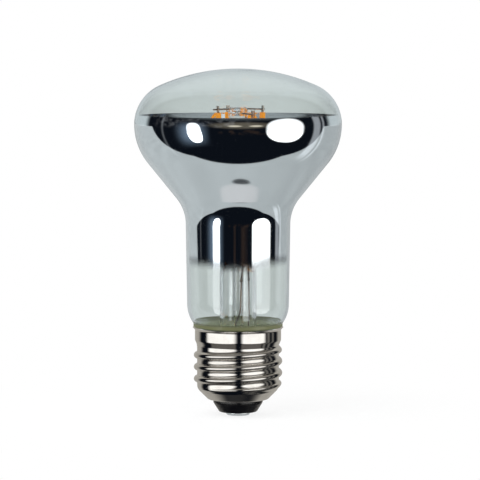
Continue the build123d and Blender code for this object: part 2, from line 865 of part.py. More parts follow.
# Surface mounted packages: a bevelled body on two rows of bent legs
def package(place, size, legs, pitch):
    """Body and legs of a package that sits on the top of the board."""
    width, depth, height = size
    body_z = board_top + package_stand_off
    leg_z = body_z + height / 2
    with BuildPart() as body:
        with BuildSketch(Plane.XY.offset(body_z)):
            with Locations(place):
                Rectangle(width, depth)
        extrude(amount=height)
        chamfer(body.faces().sort_by(Axis.Z)[-1].edges(), package_edge)
        leg_x = [place[0] + (index - (legs - 1) / 2) * pitch for index in range(legs)]
        for side in (-1, 1):
            riser_y = place[1] + side * (depth / 2 + leg_reach - leg_foot)
            with BuildSketch(Plane.XY.offset(board_top)):
                with Locations(*[(x, riser_y) for x in leg_x]):
                    Rectangle(leg_width, leg_thickness)
            extrude(amount=leg_z - board_top)
            with BuildSketch(Plane.XY.offset(board_top)):
                with Locations(*[(x, riser_y + side * leg_foot / 2) for x in leg_x]):
                    Rectangle(leg_width, leg_foot)
            extrude(amount=leg_thickness)
            bridge_y = place[1] + side * (depth + leg_reach - leg_foot) / 2
            with BuildSketch(Plane.XY.offset(leg_z)):
                with Locations(*[(x, bridge_y) for x in leg_x]):
                    Rectangle(leg_width, leg_reach)
            extrude(amount=-leg_thickness)
    return body.part


with BuildPart() as bridge_rectifier:
    add(package(bridge_place, bridge_size, bridge_legs, bridge_pitch))
bridge_rectifier.part.label = "bridge_rectifier"
export_step(bridge_rectifier.part, "parts/bridge_rectifier.step")

with BuildPart() as driver_chip:
    add(package(chip_place, chip_size, chip_legs, chip_pitch))
driver_chip.part.label = "driver_chip"
export_step(driver_chip.part, "parts/driver_chip.step")


# Wire from the board over the sleeve's notch to the inside of the shell
with BuildPart() as neutral_wire:
    hole_x, hole_y = shell_wire_hole
    shell_route = [
        (hole_x, hole_y, tail_z),
        (hole_x, hole_y, shell_wire_level),
        (-shell_wire_reach, hole_y, shell_wire_level),
        (-shell_wire_reach, hole_y, shell_wire_top),
    ]
    wire_run(shell_route, shell_wire_diameter, lead_bend)
neutral_wire.part.label = "neutral_wire"
export_step(neutral_wire.part, "parts/neutral_wire.step")
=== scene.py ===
# %% [markdown]
# # A reflector bulb with light strips
# A blown glass bulb with a mirror on its inner skin, on a rolled screw cap. The mechanical parts come
# from the CAD model, which is the fixed frame. The glass, the film and the outside of the cap are made
# again here with finer surfaces, because a reflection shows every flat facet.

# %% Load the frame
import json
from math import atan2, ceil, cos, degrees, pi, radians, sin, sqrt, tan

import bmesh
import bpy
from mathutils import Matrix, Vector


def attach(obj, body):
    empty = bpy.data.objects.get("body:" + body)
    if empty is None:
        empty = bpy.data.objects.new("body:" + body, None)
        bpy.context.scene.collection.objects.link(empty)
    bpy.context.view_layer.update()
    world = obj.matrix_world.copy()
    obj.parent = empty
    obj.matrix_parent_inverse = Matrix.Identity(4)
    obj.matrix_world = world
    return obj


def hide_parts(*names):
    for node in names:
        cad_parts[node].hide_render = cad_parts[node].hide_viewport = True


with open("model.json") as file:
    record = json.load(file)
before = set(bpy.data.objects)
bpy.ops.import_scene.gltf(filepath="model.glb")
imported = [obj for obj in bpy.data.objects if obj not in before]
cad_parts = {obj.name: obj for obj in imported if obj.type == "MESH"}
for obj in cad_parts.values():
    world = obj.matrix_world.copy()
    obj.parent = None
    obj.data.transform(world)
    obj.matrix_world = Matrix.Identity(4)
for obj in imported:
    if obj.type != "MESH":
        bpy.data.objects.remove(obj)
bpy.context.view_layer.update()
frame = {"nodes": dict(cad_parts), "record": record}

scene = bpy.context.scene

# %% [markdown]
# ## Camera
# The photograph looks slightly down on the bulb from almost a metre. That long distance keeps the
# upright lines parallel, so the lens is long too. One lens, no shift and no blur keep it simple.

# %% Camera at the photograph's angle
CAMERA_PLACE = Vector((0.0006, -0.883, 0.1219))
CAMERA_TARGET = Vector((0.0006, 0.0, 0.0535))

camera_data = bpy.data.cameras.new("studio_camera")
camera_data.sensor_width = 36.0
camera_data.lens = 218.2
camera = bpy.data.objects.new("studio_camera", camera_data)
scene.collection.objects.link(camera)
camera.location = CAMERA_PLACE
camera.rotation_euler = (CAMERA_TARGET - CAMERA_PLACE).to_track_quat("-Z", "Y").to_euler()
scene.camera = camera
print("camera tilt", round(90 - degrees(camera.rotation_euler.x), 2))

# %% [markdown]
# ## Helpers for shader nodes
# Every finish is a small network of nodes. The first helper adds a node with its settings and links
# its inputs, and the others name the few nodes that come back most, so that a finish reads as a recipe.


# %% Helpers for shader nodes
def add_node(tree, kind, inputs=(), **settings):
    """New node of that kind: settings are its own, inputs are values or sockets by name or number."""
    node = tree.nodes.new("ShaderNode" + kind)
    for name, value in settings.items():
        setattr(node, name, value)
    for name, value in dict(inputs).items():
        if isinstance(value, bpy.types.NodeSocket):
            tree.links.new(value, node.inputs[name])
        else:
            node.inputs[name].default_value = value
    return node


def maths(tree, operation, *values):
    """Output of a Math node."""
    return add_node(tree, "Math", dict(enumerate(values)), operation=operation).outputs[0]


def product(tree, first, *others):
    """Product of several values."""
    for other in others:
        first = maths(tree, "MULTIPLY", first, other)
    return first


def ramp_between(tree, value, low, high, bottom=0.0, top=1.0):
    """Value carried smoothly from bottom to top while it goes from low to high."""
    inputs = {"Value": value, "From Min": low, "From Max": high, "To Min": bottom, "To Max": top}
    return add_node(tree, "MapRange", inputs, interpolation_type="SMOOTHSTEP").outputs["Result"]


def mix_colours(tree, factor, first, second, blend="MIX"):
    """Colour output of a Mix node, whose colours are its inputs 6 and 7."""
    inputs = {0: factor, 6: first, 7: second}
    return add_node(tree, "Mix", inputs, data_type="RGBA", blend_type=blend).outputs[2]


def object_place(tree):
    """Where the surface lies on its own object, in metres."""
    return add_node(tree, "TexCoord").outputs["Object"]


def noise_at(tree, place, scale, detail):
    """Soft noise from 0 to 1."""
    return add_node(tree, "TexNoise", {"Vector": place, "Scale": scale, "Detail": detail}).outputs["Fac"]


def off_axis(tree, east, north):
    """Distance from the upright axis."""
    return maths(tree, "SQRT", maths(tree, "ADD", product(tree, east, east), product(tree, north, north)))


# %% [markdown]
# ## Light
# The photograph was taken in a dark studio: a pale table and backdrop under and behind the bulb,
# darkness in front, and a white panel on each side. Curved mirrors show all of that. The world gives
# only the plain part, by the kind of ray. The camera sees white, soft surfaces are lit by an even sky,
# what is seen straight through clear glass is the grey of the real backdrop, and a mirrored ray finds
# darkness. Two domes and a table top then draw what the mirrors show.

# %% Helpers for light by direction
WHITE = (1.0, 1.0, 1.0, 1.0)


def directions(tree, vector):
    """Azimuth, 0 towards the camera and growing to the right, and elevation, both in degrees."""
    east, north, up = add_node(tree, "SeparateXYZ", {0: vector}).outputs
    turn = maths(tree, "ARCTAN2", east, product(tree, north, -1.0))
    rise = maths(tree, "ARCTAN2", up, off_axis(tree, east, north))
    return product(tree, turn, 180 / pi), product(tree, rise, 180 / pi)


def window(tree, value, low, high, soft):
    """1 between low and high, falling to 0 over a soft width on both sides."""
    rising = ramp_between(tree, value, low - soft, low + soft)
    falling = ramp_between(tree, value, high + soft, high - soft)
    return product(tree, rising, falling)


def window_sum(tree, value, windows):
    """Sum of several windows, each with its own share."""
    total = 0.0
    for limits, share in windows:
        total = maths(tree, "ADD", total, product(tree, window(tree, value, *limits), share))
    return total


def rounded_panel(tree, across, along, middle, half, power, soft):
    """Mask of a panel with round corners, which a higher power makes squarer."""
    shares = []
    for value, centre, reach in zip((across, along), middle, half):
        away = product(tree, maths(tree, "SUBTRACT", value, centre), 1 / reach)
        shares.append(maths(tree, "POWER", maths(tree, "ABSOLUTE", away), power))
    return ramp_between(tree, maths(tree, "ADD", *shares), 1 + soft, 1 - soft)


def scaled(tree, colour, mask):
    """Colour times a mask, which may be above 1."""
    vector = colour if isinstance(colour, bpy.types.NodeSocket) else colour[:3]
    return add_node(tree, "VectorMath", {0: vector, "Scale": mask}, operation="SCALE").outputs[0]


def with_light(tree, lit, colour, mask):
    """The light so far, with a colour added as far as its mask says."""
    return mix_colours(tree, 1.0, lit, scaled(tree, colour, mask), "ADD")


def is_mirrored(tree):
    """1 for a ray that has met a mirror or a glass skin's reflection on its way."""
    depth = add_node(tree, "LightPath").outputs["Glossy Depth"]
    return maths(tree, "GREATER_THAN", depth, 0.5)


# %% World
THROUGH_GLASS = (0.565, 0.61, 0.60, 1.0)
SOFT_SKY = (0.90, 0.91, 0.92, 1.0)
DARKNESS = (0.004, 0.0055, 0.009, 1.0)

world = bpy.data.worlds.new("studio")
scene.world = world
world.use_nodes = True
air = world.node_tree
air.nodes.clear()
through = mix_colours(air, is_mirrored(air), THROUGH_GLASS, DARKNESS)
path = add_node(air, "LightPath").outputs
softened = maths(air, "GREATER_THAN", path["Diffuse Depth"], 0.5)
soft = mix_colours(air, softened, through, SOFT_SKY)
seen = mix_colours(air, path["Is Camera Ray"], soft, WHITE)
background = add_node(air, "Background", {"Color": seen, "Strength": 1.0})
add_node(air, "OutputWorld", {"Surface": background.outputs[0]})
print("world nodes", len(air.nodes))

# %% [markdown]
# ## Studio domes
# The glass and the cap were lit differently: two white panels for the glass, two wide soft boxes close
# to the cap. Each set is drawn by direction on a large dome that only gives light to mirrored rays,
# and light linking lets each dome shine on its own pieces alone. Everything else passes a dome. Drawn
# light has soft edges and round corners for little work, where real lamps would need many objects.

# %% Linked light
GLASS_SIDE = bpy.data.collections.new("lit_by_panels")
CAP_SIDE = bpy.data.collections.new("lit_by_soft_boxes")
GLASS_DOME_R, CAP_DOME_R = 4.0, 4.4


def glow_finish(name, draw_light):
    """Material that shines on mirrored rays only and lets every ray pass."""
    material = bpy.data.materials.new(name)
    material.use_nodes = True
    tree = material.node_tree
    tree.nodes.clear()
    lit = draw_light(tree, object_place(tree))
    glow = add_node(tree, "Emission", {"Color": lit, "Strength": is_mirrored(tree)})
    passing = add_node(tree, "BsdfTransparent")
    both = add_node(tree, "AddShader", {0: passing.outputs[0], 1: glow.outputs[0]})
    add_node(tree, "OutputMaterial", {"Surface": both.outputs[0]})
    material.cycles.emission_sampling = "NONE"
    return material


def stage_object(name, builder, material, receivers):
    """Stage piece that only mirrored rays see, and that shines on one collection."""
    mesh = bpy.data.meshes.new(name)
    builder.to_mesh(mesh)
    builder.free()
    piece = bpy.data.objects.new(name, mesh)
    scene.collection.objects.link(piece)
    mesh.materials.append(material)
    piece.visible_camera = piece.visible_diffuse = piece.visible_shadow = False
    piece.light_linking.receiver_collection = receivers
    print(name, "faces", len(mesh.polygons), "shader nodes", len(material.node_tree.nodes))


def dome(radius):
    """Sphere round the origin, which is the foot of the bulb."""
    builder = bmesh.new()
    bmesh.ops.create_uvsphere(builder, u_segments=48, v_segments=24, radius=radius)
    return builder


def sheet(half):
    """Level square of that half width."""
    builder = bmesh.new()
    bmesh.ops.create_grid(builder, x_segments=1, y_segments=1, size=half)
    return builder


# %% [markdown]
# ### What the glass mirrors
# The bulb's mirror shows a pale backdrop and sky, two bright panels, a dim warm room in front, and
# narrow bands at the sides. They could be planes with lamps, but as masks each is one line to move.
# All limits are degrees of azimuth (turn) or elevation (height). A panel is its middle, its half size,
# its squareness and its softness. A window is its two limits and its softness.

# %% Backdrop and sky
BACKDROP, BACKDROP_TURN, BACKDROP_FOOT = (0.52, 0.57, 0.585, 1.0), (116.0, 128.0), (-0.7, 0.2)
SKY, SKY_HEIGHT = (0.33, 0.36, 0.36, 1.0), (16.0, 44.0)


def backdrop_light(tree, azimuth, elevation):
    """Pale backdrop behind the bulb, down to the horizon, and the sky over everything."""
    pale = ramp_between(tree, maths(tree, "ABSOLUTE", azimuth), *BACKDROP_TURN)
    lit = scaled(tree, BACKDROP, product(tree, pale, ramp_between(tree, elevation, *BACKDROP_FOOT)))
    return with_light(tree, lit, SKY, ramp_between(tree, elevation, *SKY_HEIGHT))


# %% Two white panels
LEFT_PANEL, LEFT_SKEW = ((-51.0, -7.0), (8.7, 18.5), 2.8, 0.18), 0.10
RIGHT_PANEL = ((55.2, -1.5), (23.2, 22.5), 2.3, 0.2)
PANEL_COLOUR, PANEL_POWER, PANEL_BOUNCES = (1.0, 1.01, 1.02, 1.0), (-3.0, -13.0, 1.35, 3.4), 2.5
GLOW_COLOUR, GLOW_IN, GLOW_OUT = (0.15, 0.20, 0.27, 1.0), (-84.0, -58.0), (-30.0, -50.0)
GLOW_FALL, GLOW_HEIGHT = 2.0, (-24.0, 6.0, 12.0)


def panel_light(tree, lit, azimuth, elevation):
    """Two panels that show in the first two reflections only, with a glow round the left one."""
    skewed = maths(tree, "ADD", azimuth, product(tree, elevation, LEFT_SKEW))
    left = rounded_panel(tree, skewed, elevation, *LEFT_PANEL)
    right = rounded_panel(tree, azimuth, elevation, *RIGHT_PANEL)
    power = ramp_between(tree, elevation, *PANEL_POWER)
    bounces = add_node(tree, "LightPath").outputs["Glossy Depth"]
    early = maths(tree, "LESS_THAN", bounces, PANEL_BOUNCES)
    panels = product(tree, maths(tree, "MAXIMUM", left, right), power, early)
    lit = with_light(tree, lit, PANEL_COLOUR, panels)
    glow = maths(tree, "POWER", ramp_between(tree, azimuth, *GLOW_IN), GLOW_FALL)
    glow = product(tree, glow, ramp_between(tree, azimuth, *GLOW_OUT), window(tree, elevation, *GLOW_HEIGHT))
    return with_light(tree, lit, GLOW_COLOUR, glow)


# %% The dim room in front
ROOM_COLOUR, ROOM = (0.115, 0.098, 0.072, 1.0), ((3.0, 7.0), (32.0, 8.0), 2.0, 0.9)
LAMP_COLOUR, LAMP_TURNS, LAMP_HEIGHT = (0.55, 0.50, 0.40, 1.0), (-3.5, 20.0), 5.0
LAMP_SHAPE = ((7.0, 2.2), 2.0, 0.9)
HAZE_NOISE, HAZE_RANGE = (2.2, 5.0), (0.42, 0.72)
CLUTTER, CLUTTER_TURN, CLUTTER_HEIGHT = (0.075, 0.075, 0.078, 1.0), (-104.0, 10.0, 8.0), (2.0, 22.0, 5.0)
BROWN, BROWN_PATCH = (0.027, 0.015, 0.008, 1.0), ((6.0, -9.0), (26.0, 4.5), 2.0, 0.7)


def room_light(tree, lit, place, azimuth, elevation):
    """A warm haze with two lamps, and cloudy grey and brown things near the rim and below."""
    lit = with_light(tree, lit, ROOM_COLOUR, rounded_panel(tree, azimuth, elevation, *ROOM))
    for turn in LAMP_TURNS:
        lamp_mask = rounded_panel(tree, azimuth, elevation, (turn, LAMP_HEIGHT), *LAMP_SHAPE)
        lit = with_light(tree, lit, LAMP_COLOUR, lamp_mask)
    haze = ramp_between(tree, noise_at(tree, place, *HAZE_NOISE), *HAZE_RANGE)
    rim = product(tree, window(tree, azimuth, *CLUTTER_TURN), window(tree, elevation, *CLUTTER_HEIGHT))
    lit = with_light(tree, lit, CLUTTER, product(tree, haze, rim))
    things = rounded_panel(tree, azimuth, elevation, *BROWN_PATCH)
    return with_light(tree, lit, BROWN, product(tree, haze, things))


# %% Side bands and the whole dome for the glass
BAND_COLOUR, BAND_HEIGHT = (0.30, 0.31, 0.33, 1.0), (-40.0, 30.0, 8.0)
BAND_TURNS = (((94.0, 105.0, 2.0), 1.0), ((109.0, 112.0, 1.5), 1.0), ((-95.0, -92.5, 1.5), 0.35))


def glass_studio(tree, place):
    """All that the glass mirrors: backdrop, panels, room and side bands."""
    azimuth, elevation = directions(tree, place)
    lit = backdrop_light(tree, azimuth, elevation)
    lit = panel_light(tree, lit, azimuth, elevation)
    lit = room_light(tree, lit, place, azimuth, elevation)
    bands = window_sum(tree, azimuth, BAND_TURNS)
    return with_light(tree, lit, BAND_COLOUR, product(tree, bands, window(tree, elevation, *BAND_HEIGHT)))


stage_object("panel_dome", dome(GLASS_DOME_R), glow_finish("panel_glow", glass_studio), GLASS_SIDE)

# %% [markdown]
# ### What the cap mirrors
# The thread shows two wide soft boxes with a dark gap between them, as bright ovals on each crest. The
# sides show a warm grey wall. One dome for both sets would put the glass's narrow panels on the cap.

# %% Dome for the cap
CAP_LEFT = ((-48.5, -5.0), (42.0, 19.0), 2.3, 0.4)
CAP_RIGHT = ((43.5, -5.0), (33.0, 19.0), 2.3, 0.4)
BOX_COLOUR = (1.22, 1.21, 1.18, 1.0)
DIM_COLOUR, DIM_HEIGHT = (0.13, 0.12, 0.105, 1.0), (-58.0, 52.0, 8.0)
DIM_TURNS = (((-92.0, -8.0, 4.0), 1.0), ((12.0, 80.0, 4.0), 1.0))
CEILING_COLOUR, CEILING_HEIGHT = (0.21, 0.195, 0.17, 1.0), (24.0, 44.0)
BEHIND_COLOUR, BEHIND_MIDDLE, BEHIND_TURN = (0.44, 0.42, 0.38, 1.0), 4.0, (118.0, 138.0)
BEHIND_FOOT, BEHIND_TOP = (-72.0, -45.0, 0.06, 1.0), (72.0, 30.0)
EDGE_TURNS = (((86.0, 93.0, 5.0), 0.45), ((104.0, 110.0, 5.0), 0.45))


def cap_studio(tree, place):
    """Two wide soft boxes with a dark gap between, dim light round them, and a warm grey wall behind."""
    azimuth, elevation = directions(tree, place)
    left = rounded_panel(tree, azimuth, elevation, *CAP_LEFT)
    right = rounded_panel(tree, azimuth, elevation, *CAP_RIGHT)
    lit = scaled(tree, BOX_COLOUR, maths(tree, "MAXIMUM", left, right))
    dim = product(tree, window_sum(tree, azimuth, DIM_TURNS), window(tree, elevation, *DIM_HEIGHT))
    lit = with_light(tree, lit, DIM_COLOUR, dim)
    lit = with_light(tree, lit, CEILING_COLOUR, ramp_between(tree, elevation, *CEILING_HEIGHT))
    away = maths(tree, "ABSOLUTE", maths(tree, "SUBTRACT", azimuth, BEHIND_MIDDLE))
    behind = product(tree, ramp_between(tree, away, *BEHIND_TURN), ramp_between(tree, elevation, *BEHIND_FOOT))
    behind = product(tree, behind, ramp_between(tree, elevation, *BEHIND_TOP))
    lit = with_light(tree, lit, BEHIND_COLOUR, behind)
    return with_light(tree, lit, BEHIND_COLOUR, window_sum(tree, azimuth, EDGE_TURNS))


stage_object("soft_box_dome", dome(CAP_DOME_R), glow_finish("soft_box_glow", cap_studio), CAP_SIDE)

# %% [markdown]
# ### The table in the mirror
# The bowl shows the table as a flat grey field with a curved front edge. A dome can't give that,
# because the table is near, so it is a level sheet with its own drawing, in metres.

# %% Table top that the mirror shows
TABLE_COLOUR = (0.545, 0.578, 0.59, 1.0)
PATCH_COLOUR = (0.13, 0.10, 0.10, 1.0)
TABLE_HALF, TABLE_DROP = 3.0, 0.0004
TABLE_EDGE, EDGE_SOFT = -0.0505, 0.0015
TABLE_TURN, TABLE_SLOPE = 0.08, 0.42
TABLE_NOISE, NOISE_RANGE = (14.0, 2.0), (0.2, 0.8)
SIDE_REACH, TABLE_DIM = 0.12, 0.84
PATCH = ((0.002, -0.0308), (0.0275, 0.0030), 4.0, 0.8)
DARK_SPOT, SPOT_DEPTH = ((0.0045, -0.0346), (0.0125, 0.0009), 2.0, 0.6), 0.85
PATCH_BOW = 9.2


def table_top(tree, place):
    """Pale table behind its front edge, with a pale patch and a dark spot in the middle of it."""
    across, along, _ = add_node(tree, "SeparateXYZ", {0: place}).outputs
    outward = maths(tree, "SUBTRACT", maths(tree, "ABSOLUTE", across), TABLE_TURN)
    bow = product(tree, maths(tree, "MAXIMUM", outward, 0.0), TABLE_SLOPE)
    inward = maths(tree, "SUBTRACT", maths(tree, "SUBTRACT", along, bow), TABLE_EDGE)
    lit = scaled(tree, TABLE_COLOUR, ramp_between(tree, inward, -EDGE_SOFT, EDGE_SOFT))
    clouds = noise_at(tree, place, *TABLE_NOISE)
    lit = scaled(tree, lit, ramp_between(tree, clouds, *NOISE_RANGE, TABLE_DIM, 1.0))
    lit = scaled(tree, lit, ramp_between(tree, across, -SIDE_REACH, SIDE_REACH, 1.0, TABLE_DIM))
    bowed = maths(tree, "SUBTRACT", along, product(tree, across, across, PATCH_BOW))
    lit = with_light(tree, lit, PATCH_COLOUR, rounded_panel(tree, across, bowed, *PATCH))
    spot = rounded_panel(tree, across, bowed, *DARK_SPOT)
    return scaled(tree, lit, maths(tree, "SUBTRACT", 1.0, product(tree, spot, SPOT_DEPTH)))


table = sheet(TABLE_HALF)
bmesh.ops.translate(table, verts=table.verts, vec=(0, 0, -TABLE_DROP))
stage_object("table_glow", table, glow_finish("table_light", table_top), GLASS_SIDE)

# %% [markdown]
# ## Lamp and bounces
# One soft lamp overhead gives the strips, the wires and the cement some shape. It stays out of mirrors
# and glass, which have their own studio. Glass inside glass needs many bounces, because a ray that
# runs out of them turns black.

# %% Soft lamp overhead
LAMP_PLACE, LAMP_TARGET = Vector((-0.35, -0.35, 0.75)), Vector((0, 0, 0.05))

lamp_data = bpy.data.lights.new("overhead_panel", "AREA")
lamp_data.shape = "RECTANGLE"
lamp_data.size = 0.5
lamp_data.size_y = 0.4
lamp_data.energy = 3.0
lamp = bpy.data.objects.new("overhead_panel", lamp_data)
scene.collection.objects.link(lamp)
lamp.location = LAMP_PLACE
lamp.rotation_euler = (LAMP_TARGET - LAMP_PLACE).to_track_quat("-Z", "Y").to_euler()
lamp.visible_glossy = False
lamp.visible_transmission = False
print("lamp distance", round((LAMP_TARGET - LAMP_PLACE).length, 3))

# %% Bounces for glass in glass
scene.cycles.max_bounces = 24
scene.cycles.transmission_bounces = 24
scene.cycles.glossy_bounces = 10
scene.cycles.transparent_max_bounces = 32
scene.view_settings.view_transform = "Standard"

# %% [markdown]
# ## Floor
# A pale sheet under the bulb. Lit paper alone would need strong lamps to reach the backdrop's white, so
# most of it is emission, with a little real shading left near the base for the contact shadow. Only
# the camera sees it: every other ray passes, and the mirrors show the domes and the table top.

# %% Floor sheet
FLOOR_HALF = 1.5
SHADOW_REACH, SHADOW_GLOW = (0.012, 0.10), 0.84
PAPER = (0.9, 0.9, 0.9, 1.0)

floor_mesh = bpy.data.meshes.new("floor_sheet")
builder = sheet(FLOOR_HALF)
builder.to_mesh(floor_mesh)
builder.free()
floor = bpy.data.objects.new("floor_sheet", floor_mesh)
scene.collection.objects.link(floor)

floor_finish = bpy.data.materials.new("floor_paper")
floor_finish.use_nodes = True
paper = floor_finish.node_tree
paper.nodes.clear()
shade = add_node(paper, "BsdfDiffuse", {"Color": PAPER})
glow = add_node(paper, "Emission", {"Color": WHITE, "Strength": 1.0})
away = add_node(paper, "VectorMath", {0: object_place(paper)}, operation="LENGTH").outputs["Value"]
share = ramp_between(paper, away, *SHADOW_REACH, SHADOW_GLOW, 1.0)
top_side = add_node(paper, "MixShader", {0: share, 1: shade.outputs[0], 2: glow.outputs[0]})
passing = add_node(paper, "BsdfTransparent")
is_camera = add_node(paper, "LightPath").outputs["Is Camera Ray"]
shown = add_node(paper, "MixShader", {0: is_camera, 1: passing.outputs[0], 2: top_side.outputs[0]})
add_node(paper, "OutputMaterial", {"Surface": shown.outputs[0]})
floor_mesh.materials.append(floor_finish)
print("floor nodes", len(paper.nodes))

# %% [markdown]
# ## Shared effects
# Handling marks, cloudy patches and a fine grain appear on several finishes. Each is a node group
# with its own scale, built once, and gives out only a mask or a height.

# %% Node groups for marks and clouds
MARK_RADIUS, MARK_SOFT = 0.012, 0.06


def new_group(name, inputs, outputs):
    """Empty shader group with float sockets, and its two end nodes."""
    group = bpy.data.node_groups.new(name, "ShaderNodeTree")
    for label, value in inputs.items():
        socket = group.interface.new_socket(label, in_out="INPUT", socket_type="NodeSocketFloat")
        socket.default_value = value
    for label in outputs:
        group.interface.new_socket(label, in_out="OUTPUT", socket_type="NodeSocketFloat")
    return group, group.nodes.new("NodeGroupInput").outputs, group.nodes.new("NodeGroupOutput").inputs


def group_clouds():
    """Soft patches, as on handled glass: Mask runs from 0 to 1."""
    group, given, result = new_group("clouds", {"Scale": 60.0, "Contrast": 0.25}, ["Mask"])
    noise = noise_at(group, object_place(group), given["Scale"], 4.0)
    low = maths(group, "SUBTRACT", 0.5, given["Contrast"])
    high = maths(group, "ADD", 0.5, given["Contrast"])
    group.links.new(ramp_between(group, noise, low, high), result["Mask"])
    return group


def group_marks():
    """Fine hairlines round the axis, as left by rolling and by fingers: Mask is 1 on a line."""
    inputs = {"Scale": 900.0, "Stretch": 14.0, "Cover": 0.62}
    group, given, result = new_group("marks", inputs, ["Mask", "Height"])
    east, north, height = add_node(group, "SeparateXYZ", {0: object_place(group)}).outputs
    turn = maths(group, "ARCTAN2", east, north)
    along = maths(group, "DIVIDE", product(group, turn, MARK_RADIUS), given["Stretch"])
    wrapped = add_node(group, "CombineXYZ", {0: along, 1: height, 2: 0.0})
    noise = noise_at(group, wrapped.outputs[0], given["Scale"], 3.0)
    mark = ramp_between(group, noise, given["Cover"], maths(group, "ADD", given["Cover"], MARK_SOFT))
    group.links.new(mark, result["Mask"])
    group.links.new(noise, result["Height"])
    return group


def group_grain():
    """Fine even grain, as on moulded and sintered surfaces."""
    group, given, result = new_group("grain", {"Scale": 2500.0}, ["Height"])
    group.links.new(noise_at(group, object_place(group), given["Scale"], 2.0), result["Height"])
    return group


CLOUDS, MARKS, GRAIN = group_clouds(), group_marks(), group_grain()
print("groups", [group.name for group in (CLOUDS, MARKS, GRAIN)])


# %% Helpers for finishes
def use_group(tree, group, **values):
    """Place a node group with its own values and give its outputs."""
    node = tree.nodes.new("ShaderNodeGroup")
    node.node_tree = group
    for name, value in values.items():
        node.inputs[name].default_value = value
    return node.outputs


def new_finish(name, **settings):
    """Material with a Principled shader: its tree and the shader node."""
    material = bpy.data.materials.new(name)
    material.use_nodes = True
    shader = material.node_tree.nodes["Principled BSDF"]
    for label, value in settings.items():
        shader.inputs[label.replace("_", " ")].default_value = value
    return material, material.node_tree, shader


def add_bump(tree, shader, height, strength, distance):
    """Bump node between a height and the shader's normal."""
    bump = add_node(tree, "Bump", {"Height": height, "Strength": strength, "Distance": distance})
    tree.links.new(bump.outputs[0], shader.inputs["Normal"])


FINISHES = {}

# %% [markdown]
# ## Clear glass
# Blown glass is smooth to a fraction of a wavelength, but its skin rolls a little, and fingers leave
# faint patches. A long slow bump gives the roll, and the patches touch the roughness and, barely, the
# tint. The pressed stem rolls more, and a coat lets its edges catch the light as thick glass does.

# %% Glass finishes
GLASS_TINT, STEM_TINT = (0.965, 0.985, 0.98, 1.0), (0.985, 0.99, 0.988, 1.0)
PATCH_PALER, PATCH_ROUGH = 1.015, 0.012


def glass_finish(name, tint, roll, roll_scale, **settings):
    """Clear glass with a slow roll in its surface and faint patches of grease."""
    material, tree, shader = new_finish(name, Transmission_Weight=1.0, IOR=1.5, Metallic=0.0, **settings)
    patches = use_group(tree, CLOUDS, Scale=45.0, Contrast=0.16)["Mask"]
    tree.links.new(ramp_between(tree, patches, 0.0, 1.0, 0.0, PATCH_ROUGH), shader.inputs["Roughness"])
    paler = tuple(min(1.0, channel * PATCH_PALER) for channel in tint[:3]) + (1.0,)
    tree.links.new(mix_colours(tree, patches, tint, paler), shader.inputs["Base Color"])
    add_bump(tree, shader, noise_at(tree, object_place(tree), roll_scale, 1.0), roll, 0.001)
    return material


FINISHES["clear_glass"] = glass_finish("clear_glass", GLASS_TINT, 0.02, 60.0)
FINISHES["stem_glass"] = glass_finish("stem_glass", STEM_TINT, 0.06, 180.0, Coat_Weight=0.7, Coat_IOR=1.9)
print("glasses", list(FINISHES))

# %% [markdown]
# ## Mirror film
# The film is bright metal that was evaporated onto the glass. Its lower edge thins out over a few
# millimetres and isn't quite even: it hangs lower in the middle than at the sides, and it is darker
# where it is thinnest. A cut in the mesh would be sharp, so height and a noise feed the alpha instead.

# %% Mirror finish
FADE_BOTTOM, FADE_TOP = 0.0452, 0.0500
EDGE_NOISE, EDGE_WANDER = (120.0, 3.0), 0.0022
MIDDLE_LOWER = (0.0100, 0.0030, 0.0, 0.0010)
RIGHT_HIGHER = (0.0060, 0.0130, 0.0, 0.0004)
THIN_HEIGHT = 0.0026
THIN_COLOUR, FILM_COLOUR = (0.42, 0.43, 0.445, 1.0), (0.90, 0.91, 0.93, 1.0)

material, tree, shader = new_finish("mirror_film", Metallic=1.0)
place = object_place(tree)
east, _, height = add_node(tree, "SeparateXYZ", {0: place}).outputs
wander = maths(tree, "SUBTRACT", noise_at(tree, place, *EDGE_NOISE), 0.5)
ragged = maths(tree, "ADD", height, product(tree, wander, EDGE_WANDER))
middle = ramp_between(tree, maths(tree, "ABSOLUTE", east), *MIDDLE_LOWER)
right = ramp_between(tree, east, *RIGHT_HIGHER)
ragged = maths(tree, "SUBTRACT", maths(tree, "ADD", ragged, middle), right)
tree.links.new(ramp_between(tree, ragged, FADE_BOTTOM, FADE_TOP), shader.inputs["Alpha"])
thin = ramp_between(tree, ragged, FADE_TOP - THIN_HEIGHT, FADE_TOP)
tree.links.new(mix_colours(tree, thin, THIN_COLOUR, FILM_COLOUR), shader.inputs["Base Color"])
haze = use_group(tree, CLOUDS, Scale=90.0, Contrast=0.2)["Mask"]
tree.links.new(ramp_between(tree, haze, 0.0, 1.0, 0.015, 0.035), shader.inputs["Roughness"])
FINISHES["mirror_film"] = material
print("film thins out from", FADE_TOP, "down to", FADE_BOTTOM)

# %% [markdown]
# ## Metals
# The shell is nickel plated brass: bright, with hairlines from rolling and dull patches. Wires are
# duller and darker. One function makes them all, with a colour for the worn places. A table holds
# what differs: both colours, the least and the most roughness, and for the coil its own marks.

